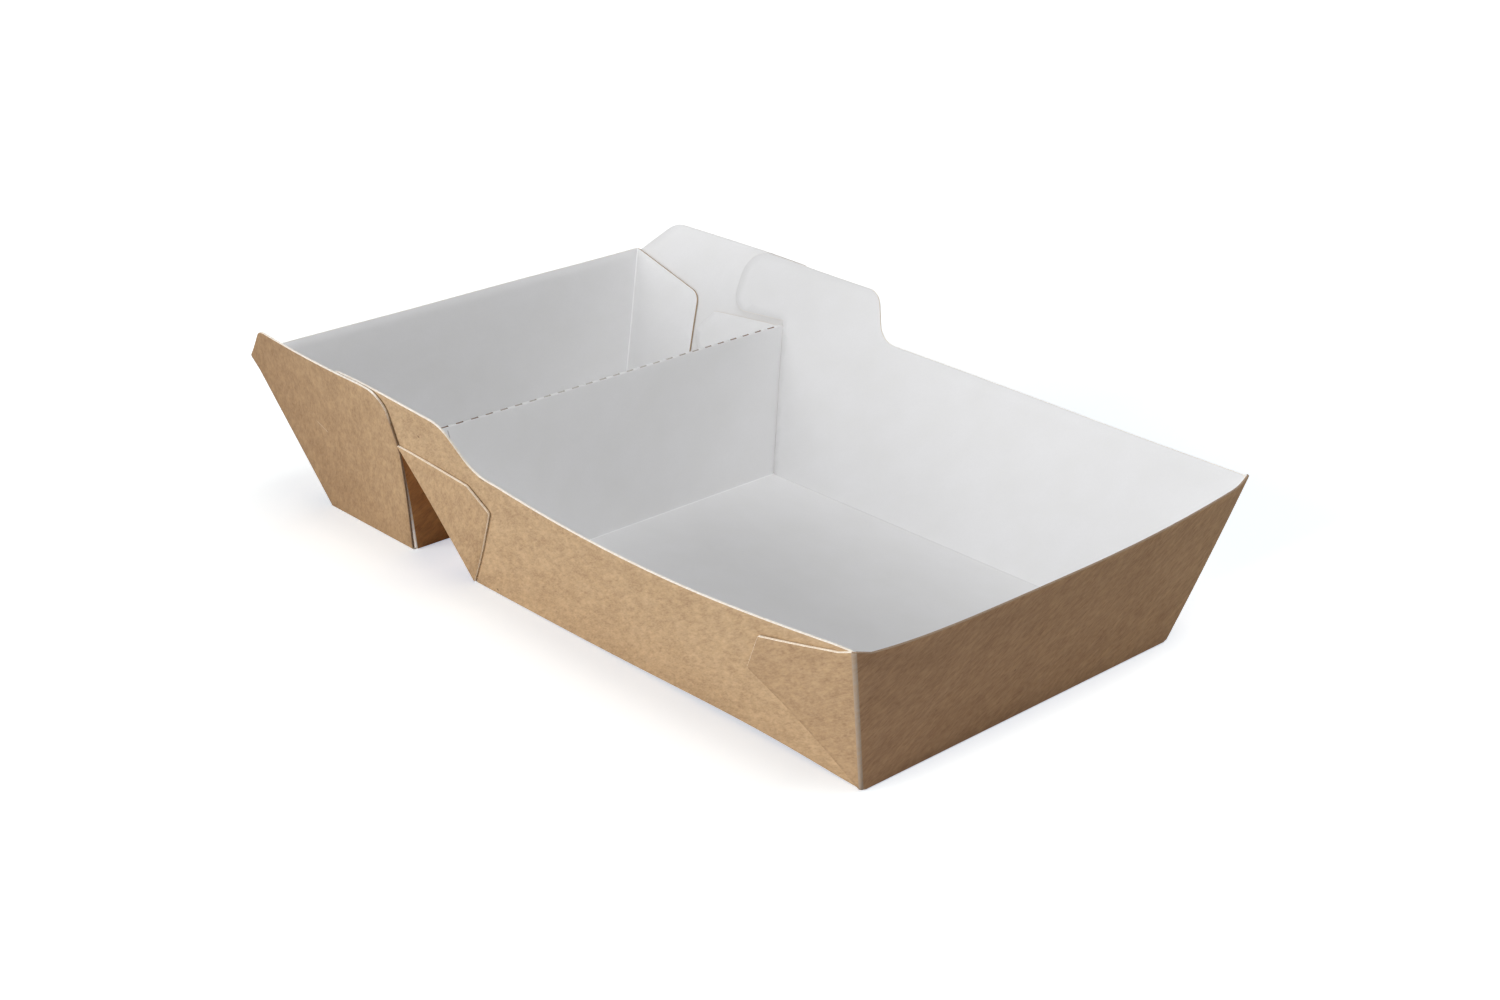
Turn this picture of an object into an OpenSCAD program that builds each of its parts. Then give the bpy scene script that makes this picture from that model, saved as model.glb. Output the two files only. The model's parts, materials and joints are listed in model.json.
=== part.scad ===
// Fries tray with a dip compartment, folded and glued from one die-cut sheet of kraft board.
// The frame: X runs along the tray towards the front wall, Y across it, Z up from the table.
// The origin is on the table, under the middle of the whole tray. The modules below measure X
// from the fold between large floor and divider, and tray() moves the whole to its origin.
// A chain of panels runs along X: front wall, large floor, divider front, divider rear, small
// floor, rear wall. Each floor carries a pair of side walls, and the upright panels carry the
// glue flaps. Every side is two layers of board: the large side walls with their tongues and the
// rear flaps lie in the inner layer, the small side walls and the front flaps in the outer one.

/* [Board] */
// Thickness of the board
board = 0.5; // [0.3:0.05:0.8]
// Room between a free edge and the panel that it faces
edge_gap = 0.3; // [0.1:0.05:0.6]
// Room between the two layers of board in each side
lap_gap = 0.05; // [0.05:0.05:0.2]
// Width of the round bead that shows along the outside of each fold
crease_w = 0.4; // [0.2:0.05:0.45]
// Flat segments in each rounded corner
corner_steps = 6; // [3:1:12]

/* [Floors] */
// Width of the large floor between its side folds
floor_w = 100; // [80:1:140]
// Length of the large floor, from the divider to the front wall
floor_l = 135; // [110:1:200]
// Length of the small floor, from the rear wall to the divider
dip_l = 39; // [38:1:80]

/* [Large compartment] */
// Lean of all side walls from upright, in degrees
side_lean = 18.5; // [10:0.5:25]
// Lean of the front wall from upright, in degrees
front_lean = 14; // [5:0.5:25]
// Height of the front corners above the floor
front_h = 41; // [30:1:44]
// Depth of the side wall at the foot of its shoulder, along the board
side_d = 44.2; // [35:0.2:48]
// How far the side walls bow out of their flat shape, at the middle of their top edges
side_bow = 4.1; // [1:0.1:6]
// How far the front wall bows out of its flat shape, at the middle of its top edge
front_bow = 3.3; // [1:0.1:5]
// Dip of the long top edges at mid length, on the flat board
side_sag = 0.4; // [0.1:0.1:3]
// Dip of the front wall's top edge at mid width, on the flat board
front_sag = 0.7; // [0.1:0.1:3]
// Height of the points where the front wall's top edge meets its corners
peak_h = 1.1; // [0.2:0.1:2]
// Width of those points
peak_w = 4.5; // [2:0.5:10]

/* [Divider] */
// Open gap between the two floors, under the divider
gap = 26; // [16:0.5:40]
// Height of the divider's ridge above the floor
divider_h = 37.5; // [30:0.5:39]
// Distance from the large floor back to the ridge
ridge_back = 10.9; // [5:0.1:15]
// Length of one slit in the ridge
slit_l = 2.2; // [1:0.1:3]
// Width of a slit
slit_w = 0.6; // [0.5:0.1:0.8]
// Distance from one slit to the next
slit_pitch = 4.5; // [4:0.1:8]
// Plain length of ridge left at each side
slit_margin = 3; // [1:0.5:10]

/* [Small compartment] */
// Lean of the rear wall from upright, in degrees
rear_lean = 12.5; // [5:0.5:20]
// Height of the rear wall above the floor
rear_h = 44.8; // [40:0.2:49]
// Depth of the small side wall where its top edge begins, along the board
ear_d = 57; // [55:0.2:65]
// Run of the slanted cut from the rear corner up to the top edge
ear_run = 12; // [6:0.5:20]
// Radius where that cut meets the top edge
ear_r = 4; // [1:0.5:6]
// Depth of the small side wall at its front top corner
brow_d = 55.2; // [51:0.1:58]
// Radius of that corner
brow_r = 4.5; // [1:0.5:5]
// Set-back of the small side wall's front edge behind the divider's fold
brow_back = 0.6; // [0.3:0.1:1.5]
// Depth at which that front edge turns more upright
brow_turn_d = 36; // [30:0.5:38]
// Lean of the front edge above that turn, in degrees
brow_lean = 7.6; // [0:0.2:15]

/* [Tongue] */
// Depth of the large side wall at the top of its shoulder, along the board
shoulder_d = 55.6; // [50:0.2:60]
// Distance from the large floor's rear fold to the foot of the shoulder
shoulder_x = 24.2; // [20:0.2:35]
// Run of the shoulder from foot to top
shoulder_run = 5.8; // [3:0.2:8]
// Radius at the top of the shoulder
shoulder_r = 6; // [2:0.5:7]
// Radius at the foot of the shoulder
foot_r = 7.5; // [2:0.5:8]
// Depth of the tongue's top edge at its rear end
tongue_d = 56.2; // [54:0.1:62]
// Length of the tongue behind the front edge of the small side wall
tongue_lap = 18.6; // [10:0.2:25]
// Radius at the tongue's upper rear corner
tongue_r = 8; // [2:0.5:10]
// Radius at its lower rear corner
tongue_low_r = 3; // [1:0.5:5]
// Room between the ridge and the tongue that passes over it
tongue_gap = 0.5; // [0.2:0.1:1.5]

/* [Front flaps] */
// Distance along the fold from the floor to the flap's top corner
front_flap_top = 28; // [24:0.5:30]
// Reach of the top corner from the fold
front_flap_reach = 27.4; // [20:0.2:35]
// Distance along the fold from the floor to the flap's lower corner
front_flap_low = 16.2; // [10:0.2:20]
// Reach of the lower corner from the fold
front_flap_low_reach = 31.2; // [24:0.2:38]

/* [Rear flaps] */
// Distance along the fold from the floor to the flap's top corner
rear_flap_top = 36; // [30:0.5:39]
// Reach of the flap from the fold
rear_flap_reach = 25.8; // [18:0.2:26]
// Distance along the fold from the floor to the flap's lower corner
rear_flap_low = 14.5; // [12:0.5:20]
// Radius of the flap's top corner
rear_flap_r = 3; // [1:0.5:4]

/* [Divider flaps] */
// Distance along the fold from the floor to the flap's top corner
divider_flap_top = 31; // [27:0.5:34]
// Reach of the top corner from the fold
divider_flap_reach = 24.2; // [16:0.2:26]
// Distance along the fold from the floor to the lower end of the corner cut
divider_flap_low = 23.6; // [18:0.2:26]
// Reach of the lower end of that cut
divider_flap_low_reach = 27.5; // [20:0.2:28]

/* [Hidden] */

// Cut-out at each floor corner: length of its folds that stays open there
corner_cut = 0.5;
// How far a bead stops short of the edges that it joins
bead_end = 0.2;
// Facets round a bead
bead_fn = 24;
// Radius at the plain corners of the flaps and walls
flap_corner_r = 1;
// Straight stretches in a top edge that dips
sag_steps = 12;
// Flat stretches in a wall that bows, and their whole width as a share of the wall's
bow_steps = 24;
bow_spread = 1.02;
// How evenly the two bows spread over their walls
side_bow_power = 1.8;
front_bow_power = 2.6;
// How far the bowed shells that walls are cut from reach past their outlines
shell_over = 5;
// The two layers of board in each side
inner = 0;
outer = 1;
// Height of the cut that makes a slit, enough to pass right through the folded ridge
slit_depth = 4 * board;

// Height of the board's middle surface in the floors
mid_z = board / 2;
// The two leaning faces of the divider
divider_front_lean = atan2(ridge_back, divider_h);
divider_rear_lean = atan2(gap - ridge_back, divider_h);
small_floor_x = -gap - dip_l;
// Lengths of the large compartment's walls up the board, from the floor to their front corners
front_top = front_h / cos(front_lean);
side_top = front_h / cos(side_lean);
// The tray's ends: the middle of the front wall's bowed edge, and the rear wall's edge
front_mid = front_top - peak_h - front_sag;
front_out = (front_bow * front_mid / front_top + board / 2) * cos(front_lean);
front_end_x = floor_l + front_mid * sin(front_lean) + front_out;
rear_end_x = small_floor_x - rear_h * tan(rear_lean) - board / 2 * cos(rear_lean);
centre_x = (front_end_x + rear_end_x) / 2;
// Half the length of the divider's ridge
ridge_half = half_w(inner) + divider_h * tan(side_lean);
// Depth of the tongue's lower edge, over the ridge
tongue_floor_d = divider_h / cos(side_lean) + board / 2 + tongue_gap;
// Distance behind its middle surface at which a leaning panel's face cuts the floor line
function face_shift(lean) = board / 2 / cos(lean);
// Ends of the large side wall where it leaves the floor
large_side_front_x = floor_l - face_shift(front_lean) - edge_gap;
large_side_rear_x = face_shift(divider_front_lean) + edge_gap;
// Half the tray's width where a side layer meets the floor
function half_w(layer) = floor_w / 2 + layer * (board + lap_gap) / cos(side_lean);
// Shift along X for each millimetre up the side wall, beside a panel that leans
function side_run(lean) = tan(lean) * cos(side_lean);
// Half the width of a leaning panel, a distance up from its floor fold
function panel_half(lean, layer, up) = half_w(layer) + up * cos(lean) * tan(side_lean);
// Direction up the fold between a leaning panel and the near side
function side_fold_dir(lean) = unit([tan(lean), -tan(side_lean), 1]);

function unit(v) = v / norm(v);
function turned(v, a) = [v.x * cos(a) - v.y * sin(a), v.x * sin(a) + v.y * cos(a)];

// Arc of radius r that rounds corner b between a and c
function corner_arc(a, b, c, r) =
    let (
        to_a = unit(a - b),
        to_c = unit(c - b),
        half = acos(to_a * to_c) / 2,
        centre = b + unit(to_a + to_c) * r / sin(half),
        start = b + to_a * r / tan(half) - centre,
        side = sign(cross(to_c, to_a))
    )
    [for (i = [0 : corner_steps]) centre + turned(start, side * (180 - 2 * half) * i / corner_steps)];

// Outline through corners given as [x, y, radius]
function rounded(corners) =
    let (
        n = len(corners),
        p = [for (c = corners) [c.x, c.y]]
    )
    [for (i = [0 : n - 1])
        each corners[i].z > 0
            ? corner_arc(p[(i + n - 1) % n], p[i], p[(i + 1) % n], corners[i].z)
            : [p[i]]];

// Points between a and b on an edge that dips by sag at its middle, ends left out
function dipped(a, b, sag) =
    [for (i = [1 : sag_steps - 1])
        let (t = i / sag_steps)
        [a.x + (b.x - a.x) * t, a.y + (b.y - a.y) * t - 4 * sag * t * (1 - t), 0]];

// Corners drawn on a fold line that starts at [x, 0] and runs up a side wall beside a panel
// of the given lean. Each is [distance along the fold, reach from it, radius]; way is 1 for
// a flap that reaches forward and -1 for one that reaches back.
function beside_fold(x, lean, way, corners) =
    let (up = unit([side_run(lean), 1]))
    [for (c = corners) [x + up.x * c.x + way * up.y * c.y, up.y * c.x - way * up.x * c.y, c.z]];

// Columns of the side walls' bowed shell, from behind the tongue to the front wall. Each is
// [x, slope of x, slope of the stand-out], both slopes for each millimetre up the board.
function side_columns() =
    let (
        rear = -side_run(divider_front_lean),
        ahead = side_run(front_lean)
    )
    concat(
        [[small_side_front_x(shoulder_d) - tongue_lap - shell_over, 0, 0]],
        [for (i = [0 : bow_steps])
            let (
                t = 0.5 + bow_spread * (i / bow_steps - 0.5),
                share = pow(max(sin(180 * t), 0), side_bow_power)
            )
            [floor_l * t, rear + (ahead - rear) * t, side_bow / side_top * share]]
    );

// The same for the front wall, from side to side
function front_columns() =
    let (
        half = panel_half(front_lean, outer, 0),
        run = cos(front_lean) * tan(side_lean)
    )
    [for (i = [0 : bow_steps])
        let (
            s = bow_spread * (2 * i / bow_steps - 1),
            share = 1 - pow(abs(s), front_bow_power)
        )
        [half * s, run * s, front_bow / front_top * share]];

// Distance along a side fold of the flap's upper end, under a panel that rises by h
function flap_end(lean, h) = norm([tan(lean), tan(side_lean), 1]) * h - bead_end;

// Flat board of a given outline
module flat() {
    linear_extrude(board, center = true) children();
}

// Board of a given outline that bows outwards. Each column of its shell is a straight line up the
// board, from shell_over under the outline's foot to shell_over past top.
module bowed(columns, top) {
    last = len(columns) - 1;
    points = [for (c = columns, y = [-shell_over, top + shell_over], z = [-board / 2, board / 2])
        [c.x + c.y * y, y, c.z * y + z]];
    // A column's four points: low and high on the inside face, then low and high on the outside
    function at(i) = [4 * i, 4 * i + 2, 4 * i + 1, 4 * i + 3];
    function between(a, b) = [
        [a[2], a[3], b[3]], [a[2], b[3], b[2]],
        [a[0], b[1], a[1]], [a[0], b[0], b[1]],
        [a[0], a[2], b[2], b[0]], [a[1], b[1], b[3], a[3]]
    ];
    first_end = [at(0)[0], at(0)[1], at(0)[3], at(0)[2]];
    last_end = [at(last)[2], at(last)[3], at(last)[1], at(last)[0]];
    intersection() {
        polyhedron(points, concat(
            [for (i = [0 : last - 1]) each between(at(i), at(i + 1))],
            [first_end, last_end]
        ));
        linear_extrude(4 * shell_over, center = true) children();
    }
}

// Moves board into a side wall's plane: X stays along the tray, Y runs up the board
module in_side(layer) {
    translate([0, -half_w(layer), mid_z])
        rotate([90 + side_lean, 0, 0])
            children();
}

// Bowed board in a side wall. Both layers have the same shell, a board and a gap apart.
module in_bowed_side(layer) {
    apart = layer * (board + lap_gap);
    in_side(layer)
        translate([0, -apart * tan(side_lean), 0])
            bowed(side_columns(), tongue_d)
                translate([0, apart * tan(side_lean), 0]) children();
}

// Moves board into a panel that crosses the tray: X runs across, Y up the board
module in_cross(x, lean) {
    translate([x, 0, mid_z])
        rotate([0, lean, 0])
            rotate([90, 0, 90])
                children();
}

module floor_panel(x, length, layer) {
    translate([x, -half_w(layer), 0])
        cube([length, 2 * half_w(layer), board]);
}

// Round bead along a fold, between two points
module fold(from, to) {
    d = to - from;
    translate(from)
        rotate([0, acos(d.z / norm(d)), atan2(d.y, d.x)])
            cylinder(h = norm(d), d = crease_w, $fn = bead_fn);
}

module cross_fold(x, z, half) {
    fold([x, -half, z], [x, half, z]);
}

module floor_fold(from, to, layer) {
    y = -half_w(layer);
    fold([from + bead_end, y, mid_z], [to - bead_end, y, mid_z]);
}

module flap_fold(x, lean, layer, h) {
    foot = [x, -half_w(layer), mid_z];
    fold(
        foot + side_fold_dir(lean) * (corner_cut + bead_end),
        foot + side_fold_dir(lean) * (flap_end(lean, h) - bead_end)
    );
}

// Front wall: its corners rise to a point, and the edge between them dips
module front_wall_outline() {
    base = panel_half(front_lean, outer, 0);
    corner = panel_half(front_lean, outer, front_top);
    right = [corner - peak_w, front_top - peak_h];
    left = [-right.x, right.y];
    edge = dipped(right, left, front_sag);
    polygon(concat(
        [[-base, 0], [base, 0], [corner, front_top], right],
        [for (p = edge) [p.x, p.y]],
        [left, [-corner, front_top]]
    ));
}

// Rear wall and the divider's two faces: plain panels with straight edges
module cross_outline(lean, layer, h) {
    top = h / cos(lean);
    base = panel_half(lean, layer, 0);
    corner = panel_half(lean, layer, top);
    polygon([[-base, 0], [base, 0], [corner, top], [-corner, top]]);
}

// Large side wall with the tongue that crosses over the divider's ridge
module large_side_outline() {
    front_corner = [large_side_front_x + side_top * side_run(front_lean), side_top];
    foot = [shoulder_x, side_d];
    tongue_end = small_side_front_x(shoulder_d) - tongue_lap;
    neck_x = large_side_rear_x - tongue_floor_d * side_run(divider_front_lean);
    polygon(rounded(concat(
        [
            [large_side_rear_x, 0, 0],
            [large_side_front_x, 0, 0],
            [front_corner.x, front_corner.y, flap_corner_r]
        ],
        dipped(front_corner, foot, side_sag),
        [
            [foot.x, foot.y, foot_r],
            [shoulder_x - shoulder_run, shoulder_d, shoulder_r],
            [tongue_end, tongue_d, tongue_r],
            [tongue_end, tongue_floor_d, tongue_low_r],
            [neck_x, tongue_floor_d, 0]
        ]
    )));
}

// Where the small side wall's front edge lies, a depth up the board
function small_side_front_x(d) =
    -gap - brow_back
    + min(d, brow_turn_d) * side_run(divider_rear_lean)
    + max(d - brow_turn_d, 0) * side_run(brow_lean);

// Small side wall: slanted cut at its rear corner, large radius at its front top corner
module small_side_outline() {
    rear_d = rear_h / cos(side_lean);
    rear_x = small_floor_x - face_shift(rear_lean);
    ear_x = rear_x - rear_d * side_run(rear_lean);
    polygon(rounded([
        [small_side_front_x(0), 0, 0],
        [small_side_front_x(brow_turn_d), brow_turn_d, 0],
        [small_side_front_x(brow_d), brow_d, brow_r],
        [ear_x + ear_run, ear_d, ear_r],
        [ear_x, rear_d, flap_corner_r],
        [rear_x, 0, 0]
    ]));
}

module front_flap_outline() {
    polygon(rounded(beside_fold(floor_l, front_lean, -1, [
        [corner_cut, 0, 0],
        [front_flap_low, front_flap_low_reach, flap_corner_r],
        [front_flap_top, front_flap_reach, flap_corner_r],
        [flap_end(front_lean, front_h), 0, 0]
    ])));
}

module rear_flap_outline() {
    polygon(rounded(beside_fold(small_floor_x, -rear_lean, 1, [
        [corner_cut, 0, 0],
        [rear_flap_low, rear_flap_reach, flap_corner_r],
        [rear_flap_top, rear_flap_reach, rear_flap_r],
        [flap_end(rear_lean, rear_h), 0, 0]
    ])));
}

module divider_flap_outline(x, lean, way) {
    polygon(rounded(beside_fold(x, lean, way, [
        [corner_cut, 0, 0],
        [divider_flap_low, divider_flap_low_reach, flap_corner_r],
        [divider_flap_top, divider_flap_reach, flap_corner_r],
        [flap_end(lean, divider_h), 0, 0]
    ])));
}

// Both walls, flaps and folds of one side
module side() {
    in_bowed_side(inner) large_side_outline();
    in_bowed_side(outer) {
        front_flap_outline();
        divider_flap_outline(0, -divider_front_lean, 1);
    }
    in_side(inner) flat() {
        rear_flap_outline();
        divider_flap_outline(-gap, divider_rear_lean, -1);
    }
    in_side(outer) flat() small_side_outline();
    floor_fold(large_side_rear_x, large_side_front_x, inner);
    floor_fold(small_floor_x + corner_cut, small_side_front_x(0), outer);
    flap_fold(floor_l, front_lean, outer, front_h);
    flap_fold(0, -divider_front_lean, outer, divider_h);
    flap_fold(-gap, divider_rear_lean, inner, divider_h);
    flap_fold(small_floor_x, -rear_lean, inner, rear_h);
}

// Row of slits that lets the ridge fold sharply
module ridge_slits() {
    count = floor((ridge_half - slit_margin) * 2 / slit_pitch);
    for (i = [0 : count])
        translate([-ridge_back, (i - count / 2) * slit_pitch, mid_z + divider_h - board])
            cube([slit_w, slit_l, slit_depth], center = true);
}

// The chain of panels from front wall to rear wall
module chain() {
    floor_panel(0, floor_l, inner);
    floor_panel(small_floor_x, dip_l, outer);
    in_cross(floor_l, front_lean) bowed(front_columns(), front_top) front_wall_outline();
    in_cross(0, -divider_front_lean) flat() cross_outline(divider_front_lean, outer, divider_h);
    in_cross(-gap, divider_rear_lean) flat() cross_outline(divider_rear_lean, inner, divider_h);
    in_cross(small_floor_x, -rear_lean) flat() cross_outline(rear_lean, inner, rear_h);
    for (x = [floor_l, 0, -gap, small_floor_x])
        cross_fold(x, mid_z, half_w(inner) - corner_cut);
    cross_fold(-ridge_back, mid_z + divider_h, ridge_half - corner_cut);
}

module tray() {
    color("#b9976f")
        translate([-centre_x, 0, 0])
            difference() {
                union() {
                    chain();
                    side();
                    mirror([0, 1, 0]) side();
                }
                ridge_slits();
            }
}

tray();
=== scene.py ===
"""Looks of a fries tray with a dip compartment: one sheet of kraft board, brown outside and white
inside, folded and glued. Metres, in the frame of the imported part."""

import json
import math

import bpy
import numpy as np
from mathutils import Matrix, Vector, noise
from mathutils.geometry import delaunay_2d_cdt

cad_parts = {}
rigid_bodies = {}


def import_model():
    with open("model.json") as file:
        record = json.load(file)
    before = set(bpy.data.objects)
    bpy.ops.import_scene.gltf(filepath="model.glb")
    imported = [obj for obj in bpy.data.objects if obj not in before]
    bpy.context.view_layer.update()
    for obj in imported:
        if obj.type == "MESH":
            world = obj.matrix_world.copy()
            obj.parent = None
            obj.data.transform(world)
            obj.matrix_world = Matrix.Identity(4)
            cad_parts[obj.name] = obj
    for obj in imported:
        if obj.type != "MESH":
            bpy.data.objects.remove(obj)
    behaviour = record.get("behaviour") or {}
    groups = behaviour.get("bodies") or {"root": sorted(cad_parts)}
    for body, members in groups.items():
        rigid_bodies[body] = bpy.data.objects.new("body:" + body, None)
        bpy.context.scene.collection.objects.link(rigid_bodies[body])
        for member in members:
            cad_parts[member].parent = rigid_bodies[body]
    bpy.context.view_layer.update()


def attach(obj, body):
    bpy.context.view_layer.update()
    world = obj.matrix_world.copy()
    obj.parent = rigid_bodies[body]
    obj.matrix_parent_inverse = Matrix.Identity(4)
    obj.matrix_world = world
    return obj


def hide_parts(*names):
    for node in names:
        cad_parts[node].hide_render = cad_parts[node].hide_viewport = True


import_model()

MM = 0.001

# Board and folds
BOARD = 0.5 * MM
LAP = 0.56 * MM
EDGE_GAP = 0.05 * MM
FOLD_R = 0.45 * MM
CORNER_FOLD_R = 0.6 * MM
RIDGE_R = 0.32 * MM
FOLD_STEPS = 6
RIDGE_STEPS = 8
CORNER_CUT = 0.35 * MM
RIM = 0.06 * MM

# Rows of the ridge's bend that its slits leave open, and how far short of it the flaps' folds end
SLIT_ROWS = range(2, RIDGE_STEPS - 1)
RIDGE_CUT = 4 * RIDGE_R

# Spacing of the sheet's points: on outlines, inside them as a grid, in degrees on round corners.
# The grid's start and its distance from the outline are shares of the grid's spacing.
SAMPLE = 1.6 * MM
GRID = 2.2 * MM
GRID_START = 0.37
GRID_CLEAR = 0.45
ARC_STEP = 9
DIP_STEPS = 40
CDT_EPSILON = 1e-9

# Floors
FLOOR_W = 100 * MM
FLOOR_L = 135 * MM
DIP_L = 39 * MM

# Large compartment
SIDE_LEAN = math.radians(18.5)
FRONT_LEAN = math.radians(14)
FRONT_H = 41 * MM
SIDE_D = 44.2 * MM
SIDE_SAG = 0.4 * MM
FRONT_SAG = 0.7 * MM
PEAK_H = 1.1 * MM
PEAK_W = 4.5 * MM

# Divider
GAP = 26 * MM
DIVIDER_H = 38.1 * MM
RIDGE_BACK = 10.9 * MM
SLIT_L = 2.2 * MM
SLIT_PITCH = 4.5 * MM
SLIT_MARGIN = 3 * MM

# Small compartment
REAR_LEAN = math.radians(12.5)
REAR_H = 44.8 * MM
EAR_D = 57.6 * MM
EAR_RUN = 12 * MM
EAR_R = 8 * MM
EAR_LOW = 1.5 * MM
EAR_OUT = 0.9 * MM
EAR_STEP = 5.5 * MM
BROW_D = 56.7 * MM
BROW_R = 4.5 * MM
BROW_BACK = 0.4 * MM
REAR_BACK = 0.5 * MM
REAR_CUT = {-1: 0.4 * MM, 1: 0.0}
BROW_TURN_D = 36 * MM
BROW_LOW_LEAN = math.radians(24.3)
BROW_LEAN = math.radians(17)

# Tongue
SHOULDER_D = 56.5 * MM
SHOULDER_X = 24.8 * MM
SHOULDER_RUN = 5.8 * MM
SHOULDER_R = 6 * MM
FOOT_R = 7.5 * MM
TONGUE_D = 57.1 * MM
TONGUE_END_X = -31.5 * MM
TONGUE_END_D = 39.3 * MM
TONGUE_R = 8 * MM
TONGUE_LOW_R = 5 * MM
TONGUE_GAP = 0.5 * MM
CORNER_R = 1 * MM

# Flaps: (distance along the fold, reach from it, radius) of their corners from the foot up
FRONT_FLAP = (
    (18.3 * MM, 29 * MM, CORNER_R), (32.9 * MM, 23.9 * MM, CORNER_R),
    (39.2 * MM, 10 * MM, CORNER_R), (42.1 * MM, 3.5 * MM, CORNER_R))
REAR_FLAP = ((14.5 * MM, 25.6 * MM, CORNER_R), (35.4 * MM, 26.8 * MM, 4 * MM))
DIVIDER_FLAP = ((24.7 * MM, 32.3 * MM, CORNER_R), (32.1 * MM, 28.8 * MM, CORNER_R))
TURNED_FLAP = ((22.4 * MM, 27 * MM, CORNER_R), (30.5 * MM, 24.1 * MM, 2 * MM))

# Grain of each panel: degrees from the panel's x axis, and its shift for each face that was
# added to the sheet before it
FLOOR_GRAIN = 0
CROSS_GRAIN = 40
REAR_GRAIN = 8
LARGE_SIDE_GRAIN = 35
SMALL_SIDE_GRAIN = 55
END_FLAP_GRAIN = 35
DIVIDER_FLAP_GRAIN = 45
GRAIN_STEP = 0.37 * MM

# Tints of the brown side, as shares of red, green and blue; pairs go from low to high x. They paint
# shade on the front wall, its fold, the flaps and the small side wall, and warm bounce light in the
# tunnel
PLAIN = (1.0, 1.0, 1.0)
FRONT_SHADE_TINTS = ((0.75, 0.645, 0.605), (0.9, 0.81, 0.75))
FRONT_FOLD_SHADE_TINT = (0.8, 0.73, 0.66)
FRONT_FLAP_SHADE_TINT = (0.87, 0.84, 0.82)
DIVIDER_FLAP_SHADE_TINT = (0.93, 0.91, 0.89)
# Painted warm bounce light on the divider's brown side, inside the tunnel
TUNNEL_BOUNCE_TINT = (1.1, 0.81, 0.54)
SMALL_SIDE_SHADE_TINTS = ((0.69, 0.62, 0.56), (0.93, 0.9, 0.87))

# Tint of the turned flap's scuffed fold, from its foot to its top: a painted highlight, brightest at its
# foot
SCUFF_HIGHLIGHT_TINTS = ((2.1, 2.35, 2.65), (0.9, 0.95, 1.0))

# Share of the brown side's tint at a panel's foot and at its top: painted light at the front wall's
# foot, painted shade towards the side walls' tops
FRONT_SHADING_RISE = (1.13, 0.99)
LARGE_SIDE_SHADING_RISE = (1.02, 0.92)
SMALL_SIDE_SHADING_RISE = (0.99, 0.92)

# Share of the white side's tint at a panel's foot and at its top, and on folds: painted light and shade
# on the panels, painted highlights on the folds
LARGE_FLOOR_WHITE_SHADING = (0.955, 0.955)
DIVIDER_WHITE_SHADING = (0.97, 1.05)
REAR_WHITE_SHADING = (0.96, 1.09)
LARGE_SIDE_WHITE_SHADING = (1.12, 0.88)
SMALL_SIDE_WHITE_SHADING = (0.93, 0.93)
INNER_FLAP_WHITE_SHADING = (0.95, 0.95)
FLOOR_FOLD_HIGHLIGHT = 1.12
DIVIDER_FOLD_HIGHLIGHT = 1.6
REAR_FOLD_HIGHLIGHT = 1.2
RIDGE_HIGHLIGHT = 1.08

# How much a fold is scuffed
SCUFFED = 1.0
HARDLY_SCUFFED = 0.3

# Tints of the cut edge; the slits' go from the ridge's middle to its ends. The flaps' is a painted
# highlight; the brow's and the slits' are painted shade
FRONT_RIM_TINT = (0.4, 0.31, 0.24)
FLAP_RIM_HIGHLIGHT = (1.1, 1.08, 1.03)
TURNED_RIM_TINT = (0.75, 0.73, 0.72)
REAR_RIM_TINT = (0.52, 0.43, 0.34)
BROW_RIM_SHADE = (0.4, 0.32, 0.25)
SLIT_SHADE_TINTS = ((0.6, 0.61, 0.64), (0.3, 0.22, 0.19))
SLIT_SHADE_RUN = (20 * MM, 45 * MM)

# The small side wall's front edge has painted shade from this far below the brow, fading in over
# this run, and its cut edge stays pale further back than this from the divider's rear fold
BROW_DARK_FROM = 7 * MM
BROW_DARK_FADE = 3 * MM
BROW_DARK_BACK = 2 * MM

# Looks that the sheet's points carry into the materials, with how many numbers each has
LOOKS = {"grain": 3, "scuff": 1, "brown_tint": 3, "white_tint": 1, "rim_tint": 3, "mark": 3}

# Small marks on the near small side wall and the divider: place in the panel, angle in degrees,
# half length and half width. NO_MARK is far beside any mark.
NO_MARK = (9.0, 9.0, 0.0)
SCRATCH = ((-49.1 * MM, 31.6 * MM), -30.8, 2.2 * MM, 0.14 * MM)
SCORE = ((-48.9 * MM, 37.1 * MM), -86, 1.0 * MM, 0.14 * MM)

# How the walls bow once the tray is folded; pairs are for the near and the far side
SIDE_BOW = (4.9 * MM, 4.1 * MM)
SIDE_BOW_SKEW = (1.3, 1.0)
SIDE_BOW_POWER = (1.0, 2.2)
REAR_BOW = (1.2 * MM, 1.6 * MM)
REAR_BOW_FROM = (-72 * MM, -76 * MM)
REAR_BOW_TO = (34 * MM, 36 * MM)
REAR_BOW_RISE = 3
REAR_BOW_POWER = 0.9
FRONT_BOW = 3.3 * MM
FRONT_BOW_POWER = (4.6, 2.0)
FRONT_HELD = (0.82, 1.0)
REAR_SHIFT = 0.9 * MM
REAR_DROP = 0.4 * MM
EAR_PULL = 0.5 * MM
CORNER_PULL = 1.6 * MM
FAR_PULL = 0.9 * MM
EDGE_LIFT = 1.1 * MM
EDGE_LIFT_SKEW = 2.2
EDGE_LIFT_POWER = 1.5
WAVE = 0.16 * MM
WAVE_L = 45 * MM
WAVE_SEED = 5
WAVE_FULL_UP = 0.5

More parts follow.
